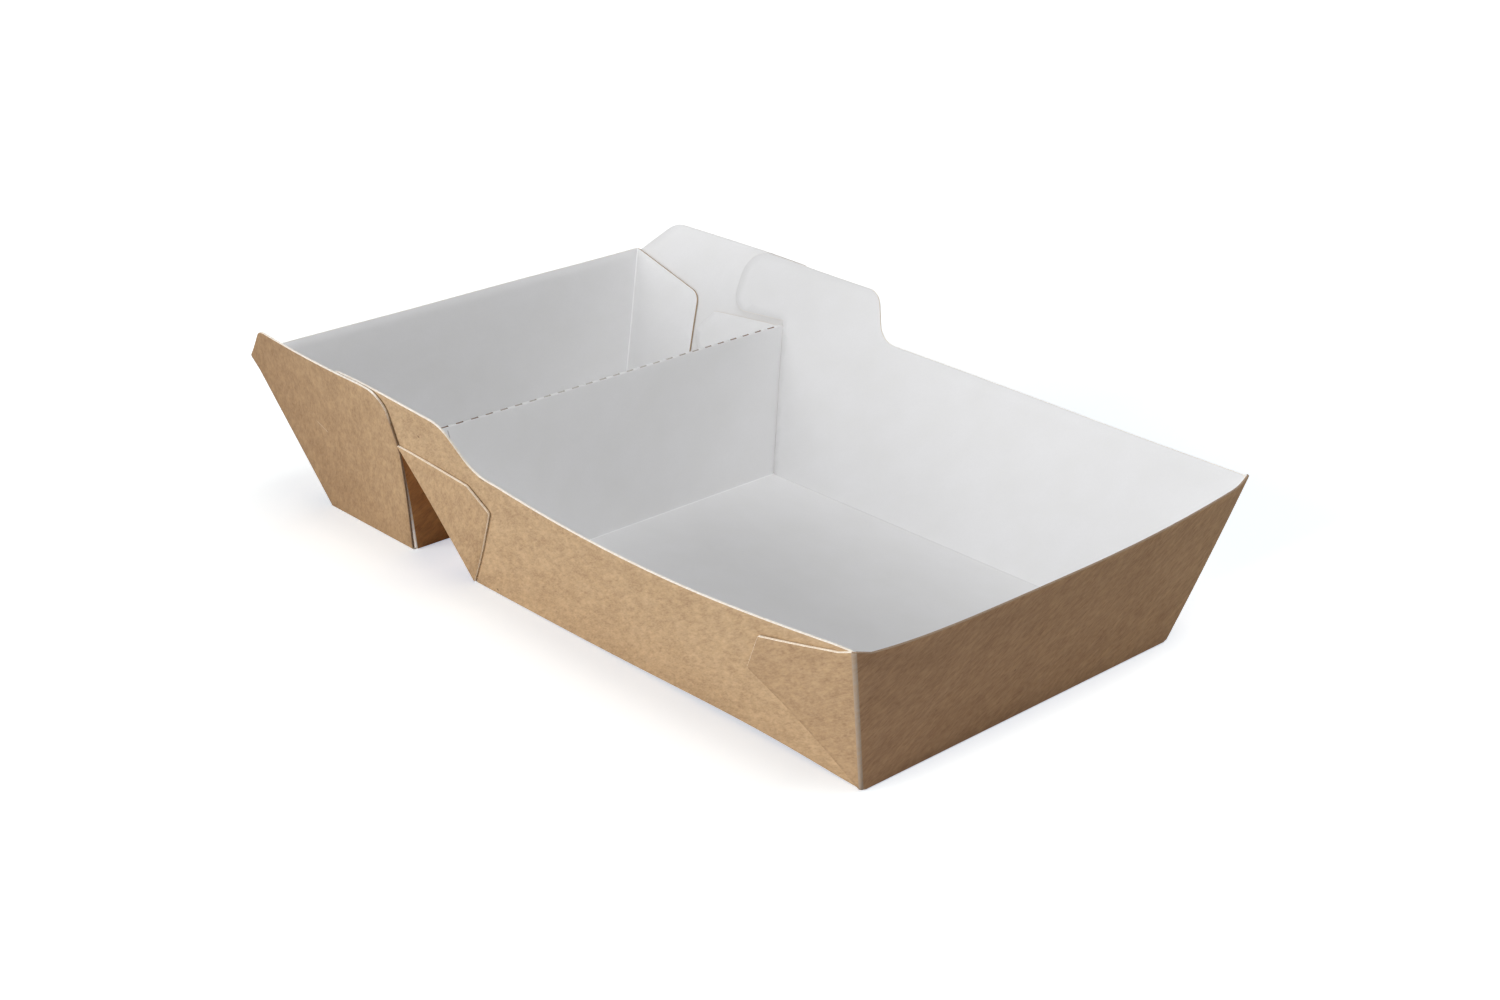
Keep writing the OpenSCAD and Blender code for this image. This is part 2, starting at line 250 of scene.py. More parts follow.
# Where these bows set in and are full, as shares of the half width or of the compartment's length
SIDE_ZONE = (0.9, 1.0)
EDGE_LIFT_ZONE = (0.55, 1.0)
CORNER_PULL_ZONE = (0.8, 1.0)
FRONT_ZONE = (0.97, 1.0)

# Noise in the materials: spots in a metre, detail, stretch along the grain, roughness
CLOUDS = (170, 2, 1.6)
BLOTCHES = (430, 3, 2.0, 0.6)
STREAKS = (900, 3, 2.6, 0.6)
FIBRES = (2400, 3, 3.2, 0.65)
WEAR = (900, 2)
KRAFT_TOOTH = (3200, 2, 1.5)
WHITE_CLOUDS = (120, 3, 1.5)
WHITE_GRAIN = (1600, 2)
WHITE_TOOTH = (2600, 2)
PULP = (1800, 3)

# The ranges of noise that turn into shares from 0 to 1; the last turns into shares of wear
SOFT = (0.3, 0.7)
CRISP = (0.34, 0.66)
WIDE = (0.2, 0.8)
WORN = (0.25, 0.6, 0.55, 1.0)

# Colours as the eye reads them, 0 to 255, and how far those that lie over others cover them
KRAFT_DARK = (174, 143, 108)
KRAFT_PALE = (202, 172, 135)
KRAFT_BLOTCH = (0.65, (212, 180, 138))
KRAFT_STREAK = (0.62, (152, 119, 89))
KRAFT_FIBRE = (0.55, (218, 190, 154))
KRAFT_SPECK = (0.75, (88, 60, 40))
KRAFT_MARK = (0.55, (222, 204, 180))
SCUFF = (196, 184, 172)
WHITE_DARK = (235, 235, 235)
WHITE_PALE = (238, 238, 239)
WHITE_SPOT = (0.35, (231, 231, 232))
WHITE_MARK = (0.6, (150, 146, 142))
PULP_DARK = (240, 228, 212)
PULP_PALE = (253, 248, 240)

# Specks: cells in a metre, the share of cells with one, and its radius and fade in cells
SPECK_CELLS = 95
SPECK_SHARE = 0.24
SPECK_EDGE = (0.02, 0.05, 1.0, 0.0)

# Where a mark fades, in its half lengths and half widths
MARK_END = (0.8, 1.2, 1.0, 0.0)
MARK_SIDE = (0.5, 1.4, 1.0, 0.0)

# Finish of each side: height and strength of its bump, roughness and gloss
KRAFT_FINISH = (0.03 * MM, 0.3, 0.78, 0.25)
WHITE_FINISH = (0.02 * MM, 0.35, 0.6, 0.3)
EDGE_FINISH = (0.03 * MM, 0.6, 0.85, 0.2)
FIBRE_HEIGHT = 0.6

# The photograph's view: sensor and lens in millimetres, turns in radians, place from the fold
# between large floor and divider
SENSOR = 36
LENS = 53.99
YAW, PITCH, ROLL = 0.8334, 0.4119, -0.0024
CAMERA_PLACE = (0.41648, -0.33704, 0.24095)
CLIP = (0.02, 20)

# Lamps: name, azimuth from +X and elevation in degrees, and watts
LAMP_SIZE = 1.1
LAMP_FAR = 1.6
LAMPS = (("key", 262, 12, 26.8), ("fill", 90, 12, 7.7), ("right", 0, 60, 10.7), ("top", 0, 90, 4.5))

# Floor: half its size, its colour for the lamps, and its colour for the camera under the glow
FLOOR_REACH = 3.0
FLOOR_COLOUR = (0.72, 0.72, 0.72, 1)
SHOWN_COLOUR = (0.8, 0.87, 0.8, 1)

# The floor's glow: its colour behind, beside and before the tray, where along X one passes into
# the next, how much stronger it is before the tray, and how it grows from 0.13 to 1.3 m away. Its
# colours paint the tint of the shadow round the tray, and its extra strength before the tray is
# painted light over the shadow there
GLOW_BEHIND = (0.57, 0.555, 0.6, 1)
GLOW_BESIDE = (0.505, 0.505, 0.578, 1)
GLOW_BEFORE = (0.515, 0.5, 0.53, 1)
BEHIND_X = (-60 * MM, -10 * MM)
BEFORE_X = (85 * MM, 105 * MM)
PAINTED_LIGHT_BEFORE = 0.35
GLOW_AWAY = (0.13, 1.3, 1.0, 3.0)

# Painted shadow where the tray meets the floor, dimming the glow: reach, samples, range of openness, and
# darkest tint
CONTACT_REACH = 12 * MM
CONTACT_SAMPLES = 2
CONTACT_OPEN = (0.4, 1.0)
CONTACT_SHADOW_TINT = (0.79, 0.84, 0.88, 1)
UNSHADED = (1, 1, 1, 1)

# The board's materials, in the order in which it holds them
WHITE_SLOT, KRAFT_SLOT, EDGE_SLOT = 0, 1, 2

MID_Z = BOARD / 2
DIVIDER_FRONT_LEAN = math.atan2(RIDGE_BACK, DIVIDER_H)
DIVIDER_REAR_LEAN = math.atan2(GAP - RIDGE_BACK, DIVIDER_H)
SMALL_FLOOR_X = -GAP - DIP_L

# The side's two layers, and the axes
INNER, OUTER = 0, 1
UP = np.array([0.0, 0.0, 1.0])
ACROSS = np.array([0.0, 1.0, 0.0])
ALONG = np.array([1.0, 0.0, 0.0])

# The panels are drawn from the fold between large floor and divider; this is where it lies
FRONT_TOP = FRONT_H / math.cos(FRONT_LEAN)
SIDE_TOP = FRONT_H / math.cos(SIDE_LEAN)
FRONT_MID = FRONT_TOP - PEAK_H - FRONT_SAG
FRONT_OUT = (FRONT_BOW * FRONT_MID / FRONT_TOP + BOARD / 2) * math.cos(FRONT_LEAN)
FRONT_END_X = FLOOR_L + FRONT_MID * math.sin(FRONT_LEAN) + FRONT_OUT
REAR_END_X = SMALL_FLOOR_X - REAR_H * math.tan(REAR_LEAN) - BOARD / 2 * math.cos(REAR_LEAN)
FOLD_X = -(FRONT_END_X + REAR_END_X) / 2


def unit(v):
    return v / np.linalg.norm(v)


def ramp(value, start, end):
    """0 up to start, 1 from end on, and a straight line between."""
    return np.clip((value - start) / (end - start), 0, 1)


def half_w(layer):
    """Half the tray's width where a side layer meets the floor."""
    return FLOOR_W / 2 + layer * LAP / math.cos(SIDE_LEAN)


def side_run(lean):
    """Shift along X for each metre up the side wall, beside a panel that leans."""
    return math.tan(lean) * math.cos(SIDE_LEAN)


def cross_up(lean):
    """Direction up a panel that crosses the tray."""
    return np.array([math.sin(lean), 0.0, math.cos(lean)])


def side_up(side):
    """Direction up a side wall; side is -1 near the camera and 1 beyond."""
    return np.array([0.0, side * math.sin(SIDE_LEAN), math.cos(SIDE_LEAN)])


def face_shift(lean):
    """Distance along X from a leaning panel's middle surface to its face."""
    return BOARD / 2 / math.cos(lean)


class Plane:
    """The middle surface of a flat panel: its own x and y axes in space. white points to the
    board's white side."""

    def __init__(self, origin, x_axis, y_axis, white):
        self.origin, self.x_axis, self.y_axis = origin, x_axis, y_axis
        self.flipped = np.cross(x_axis, y_axis) @ white < 0

    def to_space(self, flat):
        flat = np.asarray(flat, float).reshape(-1, 2)
        return self.origin + flat[:, :1] * self.x_axis + flat[:, 1:] * self.y_axis

    def to_flat(self, points):
        off = points - self.origin
        return np.stack([off @ self.x_axis, off @ self.y_axis], 1)


def side_plane(layer, side):
    """The plane of a side wall's layer."""
    return Plane(np.array([0.0, side * half_w(layer), MID_Z]), ALONG, side_up(side), -side * ACROSS)


def cross_plane(x, lean, white):
    """The plane of a panel that crosses the tray; white is 1 if its white side faces the front."""
    return Plane(np.array([x, 0.0, MID_Z]), ACROSS, cross_up(lean), white * ALONG)


class Crease:
    """A rounded fold along the line from start to end, where the middle planes of panels a and b
    cross. into_a and into_b point from that line into the panels, square to it. stations are the
    shares of the line where it has points, looks what differs there from panel a."""

    def __init__(self, start, end, into_a, into_b, radius=FOLD_R, steps=FOLD_STEPS,
                 stations=None, **looks):
        turn = math.pi - math.acos(into_a @ into_b)
        back = radius * math.tan(turn / 2)
        if stations is None:
            count = max(2, math.ceil(np.linalg.norm(end - start) / SAMPLE))
            stations = np.linspace(0, 1, count + 1)
        self.line = start + np.outer(stations, end - start)
        self.edge = {"a": self.line + into_a * back, "b": self.line + into_b * back}
        self.ids = {}
        self.pull = math.cos(turn / 2)
        self.steps, self.looks = steps, looks
        self.slits = set()

    def rows(self):
        """Points of the bend, from the edge of a to that of b: a circular arc as a rational curve."""
        for k in range(self.steps + 1):
            t = k / self.steps
            wa, wm, wb = (1 - t) ** 2, 2 * self.pull * t * (1 - t), t * t
            yield (wa * self.edge["a"] + wm * self.line + wb * self.edge["b"]) / (wa + wm + wb)


def side_fold(x, lean, layer, side, way, rise, cut_top=0.0, radius=FOLD_R, **looks):
    """Fold between a panel that crosses the tray and its flap; way points from it into the flap."""
    run = np.array([math.tan(lean), side * math.tan(SIDE_LEAN), 1.0])
    along = unit(run)
    foot = np.array([x, side * half_w(layer), MID_Z])
    into_wall = unit(-side * ACROSS - (-side * ACROSS @ along) * along)
    into_flap = unit(way * ALONG - (way * ALONG @ along) * along)
    length = np.linalg.norm(run) * rise
    start, end = foot + along * CORNER_CUT, foot + along * (length - cut_top)
    return Crease(start, end, into_wall, into_flap, radius, **looks)


class Sheet:
    """The board's middle surface as one mesh. Triangles and quads run so that the white side is
    where their normals point."""

    def __init__(self):
        self.points, self.faces = [], []
        self.looks = {name: [] for name in LOOKS}

    def add_points(self, points, **looks):
        """Adds points with their looks, one value for all or one for each, and numbers them."""
        first = len(self.points)
        self.points.extend(points)
        for name, value in looks.items():
            self.looks[name].extend(np.broadcast_to(value, (len(points), LOOKS[name])))
        return np.arange(first, len(self.points))

    def add_panel(self, plane, items, grain_angle, brown=(PLAIN, PLAIN), rise=(1.0, 1.0),
                  white=(1.0, 1.0), rim=PLAIN, mark=None):
        """items go round the panel: corners (x, y, radius), and (crease, "a" or "b", 1 or -1). brown
        paints light and shade on its brown side from low to high x and rise from the foot up, white
        paints light and shade on its white side from the foot up, rim tints its cut edge, with painted
        light and shade on some; mark is (place, angle, half length, half width)."""
        loop, runs = outline(plane, items)
        flat, faces, place = triangulated(loop)
        c, s = math.cos(math.radians(grain_angle)), math.sin(math.radians(grain_angle))
        turned = flat @ np.array([[c, -s], [s, c]])
        start = len(self.faces) * GRAIN_STEP
        grain = np.column_stack([turned + start, np.full(len(flat), start)])
        share = (flat - flat.min(0)) / np.ptp(flat, axis=0)
        ids = self.add_points(
            plane.to_space(flat), grain=grain, scuff=0.0,
            brown_tint=(np.array(brown[0]) + share[:, :1] * (np.array(brown[1]) - brown[0]))
            * (rise[0] + share[:, 1:] * (rise[1] - rise[0])),
            white_tint=white[0] + share[:, 1:] * (white[1] - white[0]),
            rim_tint=rim(flat) if callable(rim) else rim,
            mark=beside_mark(flat, *mark) if mark else NO_MARK)
        for face in faces:
            self.faces.append([ids[i] for i in (face[::-1] if plane.flipped else face)])
        for (crease, name), at in runs.items():
            crease.ids[name] = [ids[place[i]] for i in at]

    def add_crease(self, crease, white):
        """Joins two panels along their crease. white points to the board's white side there."""
        rows = list(crease.rows())
        ids = [np.array(crease.ids["a"])]
        looks = {name: np.array([values[i] for i in ids[0]]) for name, values in self.looks.items()}
        looks.update(crease.looks, mark=NO_MARK)
        grain = looks.pop("grain")
        for row in rows[1:-1]:
            moved = grain + np.linalg.norm(row - rows[0], axis=1)[:, None]
            ids.append(self.add_points(row, grain=moved, **looks))
        ids.append(np.array(crease.ids["b"]))
        edge = rows[0][1] - rows[0][0]
        flipped = np.cross(edge, rows[1][0] - rows[0][0]) @ white < 0
        for k in range(crease.steps):
            for i in range(len(crease.line) - 1):
                if i in crease.slits and k in SLIT_ROWS:
                    continue
                quad = [ids[k][i], ids[k][i + 1], ids[k + 1][i + 1], ids[k + 1][i]]
                self.faces.append(quad[::-1] if flipped else quad)


def arc(a, b, c, radius):
    """Points of the arc that rounds corner b between a and c."""
    to_a, to_c = unit(a - b), unit(c - b)
    half = math.acos(np.clip(to_a @ to_c, -1, 1)) / 2
    centre = b + unit(to_a + to_c) * radius / math.sin(half)
    start = b + to_a * radius / math.tan(half) - centre
    turn = math.copysign(math.pi - 2 * half, to_c[0] * to_a[1] - to_c[1] * to_a[0])
    count = max(2, math.ceil(math.degrees(abs(turn)) / ARC_STEP))
    for i in range(count + 1):
        c_, s_ = math.cos(turn * i / count), math.sin(turn * i / count)
        yield centre + np.array([start[0] * c_ - start[1] * s_, start[0] * s_ + start[1] * c_])


def outline(plane, items):
    """The panel's outline as points no more than SAMPLE apart, and where each crease's lie."""
    anchors = []
    for item in items:
        if isinstance(item[0], Crease):
            crease, name, order = item
            flat = plane.to_flat(crease.edge[name])
            indices = range(len(flat))[::order]
            anchors.extend((flat[i], 0.0, (crease, name, i)) for i in indices)
        else:
            anchors.append((np.array(item[:2], float), item[2], None))
    loop, runs = [], {}

    def put(point, subdivide):
        if subdivide and loop:
            gap = point - loop[-1]
            count = math.ceil(np.linalg.norm(gap) / SAMPLE)
            before = loop[-1]
            loop.extend(before + gap * i / count for i in range(1, count))
        loop.append(point)

    for i, (point, radius, tag) in enumerate(anchors):
        before, after = anchors[i - 1], anchors[(i + 1) % len(anchors)]
        if radius > 0:
            for k, p in enumerate(arc(before[0], point, after[0], radius)):
                put(p, k == 0)
        else:
            same_run = tag and before[2] and before[2][:2] == tag[:2] and abs(before[2][2] - tag[2]) == 1
            put(point, not same_run)
            if tag:
                runs.setdefault(tag[:2], {})[tag[2]] = len(loop) - 1
    close = loop[0] - loop[-1]
    count = math.ceil(np.linalg.norm(close) / SAMPLE)
    last = loop[-1]
    loop.extend(last + close * i / count for i in range(1, count))
    ordered = {key: [at[i] for i in sorted(at)] for key, at in runs.items()}
    return np.array(loop), ordered


def triangulated(loop):
    """Points and triangles inside an outline, with a grid of points inside it, and where the
    outline's own points went."""
    low, high = loop.min(0), loop.max(0)
    xs = np.arange(low[0] + GRID * GRID_START, high[0], GRID)
    ys = np.arange(low[1] + GRID * GRID_START, high[1], GRID)
    grid = np.array([(x, y) for x in xs for y in ys])
    nxt = np.roll(loop, -1, 0)
    side = nxt - loop
    off = grid[:, None] - loop[None]
    share = np.clip((off * side).sum(2) / (side * side).sum(1), 0, 1)
    gap = np.linalg.norm(off - share[..., None] * side, axis=2).min(1)
    above = (loop[:, 1] > grid[:, None, 1]) != (nxt[:, 1] > grid[:, None, 1])
    with np.errstate(divide="ignore", invalid="ignore"):
        cross = loop[:, 0] + (grid[:, None, 1] - loop[:, 1]) / side[:, 1] * side[:, 0]
    inside = (above & (grid[:, None, 0] < cross)).sum(1) % 2 == 1
    grid = grid[inside & (gap > GRID * GRID_CLEAR)]
    count = len(loop)
    points = [Vector(p) for p in np.vstack([loop, grid])]
    edges = [(i, (i + 1) % count) for i in range(count)]
    out, _, faces, origin, _, _ = delaunay_2d_cdt(points, edges, [list(range(count))], 1, CDT_EPSILON)
    place = {i: k for k, came in enumerate(origin) for i in came if i < count}
    used = sorted({i for f in faces for i in f})
    new = {k: i for i, k in enumerate(used)}
    flat = np.array([out[k][:] for k in used])
    triangles = []
    for f in faces:
        a, b, c = (flat[new[i]] for i in f)
        turn = (b[0] - a[0]) * (c[1] - a[1]) - (b[1] - a[1]) * (c[0] - a[0])
        triangles.append([new[i] for i in (f if turn > 0 else f[::-1])])
    return flat, triangles, {i: new[k] for i, k in place.items()}


def dipped(a, b, sag):
    """Corners on an edge from a to b that dips by sag at its middle, ends left out."""
    for i in range(1, DIP_STEPS):
        t = i / DIP_STEPS
        yield (a[0] + (b[0] - a[0]) * t, a[1] + (b[1] - a[1]) * t - 4 * sag * t * (1 - t), 0)


def beside_fold(x, lean, way, corners):
    """Corners given as distance along a fold and reach from it, in the side wall's plane."""
    ux, uy = unit(np.array([side_run(lean), 1.0]))
    return [(x + ux * d + way * uy * r, uy * d - way * ux * r, radius) for d, r, radius in corners]


def small_side_front_x(d):
    """Where the small side wall's front edge lies, at distance d up the board."""
    low = min(d, BROW_TURN_D) * side_run(BROW_LOW_LEAN)
    return -GAP - BROW_BACK + low + max(d - BROW_TURN_D, 0) * side_run(BROW_LEAN)


def large_side_corners():
    """Free corners of the large side wall, from its front foot round to its rear foot."""
    front_x = FLOOR_L - face_shift(FRONT_LEAN) - EDGE_GAP
    rear_x = face_shift(DIVIDER_FRONT_LEAN) + EDGE_GAP
    front = (front_x + SIDE_TOP * side_run(FRONT_LEAN), SIDE_TOP, CORNER_R)
    foot = (SHOULDER_X, SIDE_D, FOOT_R)
    floor_d = DIVIDER_H / math.cos(SIDE_LEAN) + BOARD / 2 + TONGUE_GAP
    return [
        front,
        *dipped(front, foot, SIDE_SAG),
        foot,
        (SHOULDER_X - SHOULDER_RUN, SHOULDER_D, SHOULDER_R),
        (TONGUE_END_X, TONGUE_D, TONGUE_R),
        (TONGUE_END_X, TONGUE_END_D, TONGUE_LOW_R),
        (rear_x - floor_d * side_run(DIVIDER_FRONT_LEAN), floor_d, 0),
    ]


def small_side_corners():
    """Free corners of the small side wall, from its front foot round to its rear foot."""
    rear_d = REAR_H / math.cos(SIDE_LEAN)
    rear_x = SMALL_FLOOR_X - face_shift(REAR_LEAN) + REAR_BACK
    run = side_run(REAR_LEAN)
    ear_x = rear_x - rear_d * run
    return [
        (small_side_front_x(BROW_TURN_D), BROW_TURN_D, 0),
        (small_side_front_x(BROW_D), BROW_D, BROW_R),
        (ear_x + EAR_RUN, EAR_D, EAR_R),
        (ear_x + EAR_LOW * run - EAR_OUT, rear_d - EAR_LOW, CORNER_R),
        (ear_x + EAR_STEP * run, rear_d - EAR_STEP, 0),
        (rear_x, BOARD, 0),
    ]


def beside_mark(flat, place, angle, half_long, half_wide):
    """Where points lie from a mark, in its half lengths and half widths."""
    c, s = math.cos(math.radians(angle)), math.sin(math.radians(angle))
    off = flat - place
    along, across = off @ np.array([c, s]) / half_long, off @ np.array([-s, c]) / half_wide
    return np.column_stack([along, across, np.zeros(len(flat))])


def small_side_rim_shade(flat):
    """Tint of the small side wall's cut edge: painted shade at its front, below the brow."""
    below = ramp(BROW_D - flat[:, 1:], BROW_DARK_FROM, BROW_DARK_FROM + BROW_DARK_FADE)
    dark = below * (flat[:, :1] > -GAP - BROW_DARK_BACK)
    return 1 - dark * (1 - np.array(BROW_RIM_SHADE))


def front_edge():
    """Corners of the front wall's top edge: two peaks and the dip between them."""
    reach = half_w(OUTER) + FRONT_H * math.tan(SIDE_LEAN) - PEAK_W
    right, left = (reach, FRONT_TOP - PEAK_H, 0), (-reach, FRONT_TOP - PEAK_H, 0)
    return [right, *dipped(right, left, FRONT_SAG), left]


def cross_crease(x, lean, way):
    """Fold at a floor's end, from the near side to the far one; panel a is the floor."""
    across = ACROSS * (FLOOR_W / 2 - CORNER_CUT)
    foot = np.array([x, 0.0, MID_Z])
    return Crease(
        foot - across, foot + across, way * ALONG, cross_up(lean), white_tint=FLOOR_FOLD_HIGHLIGHT)


def floor_crease(from_x, to_x, layer, side):
    """Fold along a floor's side; panel a is the floor."""
    y = side * half_w(layer)
    start, end = np.array([from_x, y, MID_Z]), np.array([to_x, y, MID_Z])
    return Crease(start, end, -side * ACROSS, side_up(side))


def ridge_crease():
    """The divider's ridge, with samples at both ends and the middle of each slit."""
    half = half_w(INNER) + DIVIDER_H * math.tan(SIDE_LEAN) - CORNER_CUT
    count = math.floor((half - SLIT_MARGIN) * 2 / SLIT_PITCH)
    centres = (np.arange(count + 1) - count / 2) * SLIT_PITCH
    reach = SLIT_L / 2
    ys = [-half]
    for c in centres:
        ys += [c - reach, c, c + reach, c + SLIT_PITCH / 2]
    ys[-1] = half
    stations = (np.array(ys) + half) / (2 * half)
    apex = np.array([-RIDGE_BACK, 0.0, MID_Z + DIVIDER_H])
    across = ACROSS * half
    # Painted shade on the slits' cut edges, deepest towards the ridge's ends
    by_end = ramp(np.abs(np.array(ys)), *SLIT_SHADE_RUN)[:, None]
    ridge = Crease(
        apex - across, apex + across,
        -cross_up(-DIVIDER_FRONT_LEAN), -cross_up(DIVIDER_REAR_LEAN),
        radius=RIDGE_R, steps=RIDGE_STEPS, stations=stations, white_tint=RIDGE_HIGHLIGHT,
        rim_tint=(1 - by_end) * np.array(SLIT_SHADE_TINTS[0]) + by_end * np.array(SLIT_SHADE_TINTS[1]),
    )
    ridge.slits = {i for k in range(count + 1) for i in (4 * k + 1, 4 * k + 2)}
    return ridge


def cross_creases():
    """Folds that run across the tray."""
    return {
        "front": cross_crease(FLOOR_L, FRONT_LEAN, -1),
        "divider_front": cross_crease(0, -DIVIDER_FRONT_LEAN, 1),
        "divider_rear": cross_crease(-GAP, DIVIDER_REAR_LEAN, -1),
        "rear": cross_crease(SMALL_FLOOR_X, -REAR_LEAN, 1),
        "ridge": ridge_crease(),
    }


def side_creases(side):
    """Folds on one side of the tray: along its two floors, and those of its four flaps."""
    large_from = face_shift(DIVIDER_FRONT_LEAN) + EDGE_GAP
    large_to = FLOOR_L - face_shift(FRONT_LEAN) - EDGE_GAP
    turned = side_fold(
        -GAP, DIVIDER_REAR_LEAN, INNER, side, -1, DIVIDER_H, RIDGE_CUT, scuff=SCUFFED)
    # Painted highlight on the turned flap's scuffed fold, brightest at its foot
    turned.looks["brown_tint"] = np.linspace(*SCUFF_HIGHLIGHT_TINTS, len(turned.line))
    return {
        "large": floor_crease(large_from, large_to, INNER, side),
        "small": floor_crease(SMALL_FLOOR_X, small_side_front_x(0), OUTER, side),
        "front": side_fold(
            FLOOR_L, FRONT_LEAN, OUTER, side, -1, FRONT_H, radius=CORNER_FOLD_R, scuff=SCUFFED,
            brown_tint=FRONT_FOLD_SHADE_TINT),
        "divider": side_fold(
            0, -DIVIDER_FRONT_LEAN, OUTER, side, 1, DIVIDER_H, RIDGE_CUT, scuff=HARDLY_SCUFFED,
            white_tint=DIVIDER_FOLD_HIGHLIGHT),
        "turned": turned,
        "rear": side_fold(
            SMALL_FLOOR_X, -REAR_LEAN, INNER, side, 1, REAR_H, REAR_CUT[side],
            scuff=HARDLY_SCUFFED, white_tint=REAR_FOLD_HIGHLIGHT),
    }


def add_middle(sheet, across, near, far):
    """The two floors, the front wall, the divider's two panels and the rear wall."""
    floor_plane = Plane(np.array([0.0, 0.0, MID_Z]), ALONG, ACROSS, UP)
    sheet.add_panel(
        floor_plane,
        [(near["large"], "a", 1), (across["front"], "a", 1),
         (far["large"], "a", -1), (across["divider_front"], "a", -1)],
        FLOOR_GRAIN, white=LARGE_FLOOR_WHITE_SHADING)
    sheet.add_panel(
        floor_plane,
        [(near["small"], "a", 1), (across["divider_rear"], "a", 1),
         (far["small"], "a", -1), (across["rear"], "a", -1)],
        FLOOR_GRAIN)
    sheet.add_panel(
        cross_plane(FLOOR_L, FRONT_LEAN, -1),
        [(across["front"], "b", 1), (far["front"], "a", 1), *front_edge(), (near["front"], "a", -1)],
        CROSS_GRAIN, brown=FRONT_SHADE_TINTS, rise=FRONT_SHADING_RISE, rim=FRONT_RIM_TINT)
    sheet.add_panel(
        cross_plane(0, -DIVIDER_FRONT_LEAN, 1),
        [(across["divider_front"], "b", 1), (far["divider"], "a", 1),
         (across["ridge"], "a", -1), (near["divider"], "a", -1)],
        CROSS_GRAIN, brown=(TUNNEL_BOUNCE_TINT, TUNNEL_BOUNCE_TINT), white=DIVIDER_WHITE_SHADING, mark=SCORE)
    sheet.add_panel(
        cross_plane(-GAP, DIVIDER_REAR_LEAN, -1),
        [(across["divider_rear"], "b", 1), (far["turned"], "a", 1),
         (across["ridge"], "b", -1), (near["turned"], "a", -1)],
        CROSS_GRAIN, brown=(TUNNEL_BOUNCE_TINT, TUNNEL_BOUNCE_TINT))
    sheet.add_panel(
        cross_plane(SMALL_FLOOR_X, -REAR_LEAN, 1),
        [(across["rear"], "b", 1), (far["rear"], "a", 1), (near["rear"], "a", -1)],
        REAR_GRAIN, white=REAR_WHITE_SHADING)


def add_side(sheet, side, folds):
    """The walls and flaps on one side of the tray, and the folds that hold them."""
    inner, outer = side_plane(INNER, side), side_plane(OUTER, side)

    def add_flap(plane, name, x, lean, way, corners, grain, **tints):
        around = beside_fold(x, lean, way, corners)
        sheet.add_panel(plane, [(folds[name], "b", -1), *around], grain, **tints)

    sheet.add_panel(
        inner, [(folds["large"], "b", 1), *large_side_corners()],
        LARGE_SIDE_GRAIN, rise=LARGE_SIDE_SHADING_RISE, white=LARGE_SIDE_WHITE_SHADING)
    sheet.add_panel(
        outer, [(folds["small"], "b", 1), *small_side_corners()],
        SMALL_SIDE_GRAIN, brown=SMALL_SIDE_SHADE_TINTS, rise=SMALL_SIDE_SHADING_RISE, white=SMALL_SIDE_WHITE_SHADING,
        rim=small_side_rim_shade, mark=SCRATCH if side < 0 else None)
    add_flap(outer, "front", FLOOR_L, FRONT_LEAN, -1, FRONT_FLAP, END_FLAP_GRAIN,
             brown=(FRONT_FLAP_SHADE_TINT, FRONT_FLAP_SHADE_TINT), rim=FLAP_RIM_HIGHLIGHT)
    add_flap(inner, "rear", SMALL_FLOOR_X, -REAR_LEAN, 1, REAR_FLAP, END_FLAP_GRAIN,
             white=INNER_FLAP_WHITE_SHADING, rim=REAR_RIM_TINT)
    add_flap(outer, "divider", 0, -DIVIDER_FRONT_LEAN, 1, DIVIDER_FLAP, DIVIDER_FLAP_GRAIN,
             brown=(DIVIDER_FLAP_SHADE_TINT, DIVIDER_FLAP_SHADE_TINT), rim=FLAP_RIM_HIGHLIGHT)
    add_flap(inner, "turned", -GAP, DIVIDER_REAR_LEAN, -1, TURNED_FLAP, DIVIDER_FLAP_GRAIN,
             white=INNER_FLAP_WHITE_SHADING, rim=TURNED_RIM_TINT)
    sheet.add_crease(folds["large"], UP)
    sheet.add_crease(folds["small"], UP)
    for name, white in (("front", -1), ("divider", 1), ("turned", -1), ("rear", 1)):
        sheet.add_crease(folds[name], white * ALONG - side * ACROSS)


def make_sheet():
    """The middle's panels, then each side's panels and folds, then the folds across the tray."""
    sheet = Sheet()
    across = cross_creases()
    sides = {side: side_creases(side) for side in (-1, 1)}
    add_middle(sheet, across, sides[-1], sides[1])
    for side, folds in sides.items():
        add_side(sheet, side, folds)
    for name in ("front", "divider_front", "divider_rear", "rear", "ridge"):
        sheet.add_crease(across[name], UP)
    return sheet


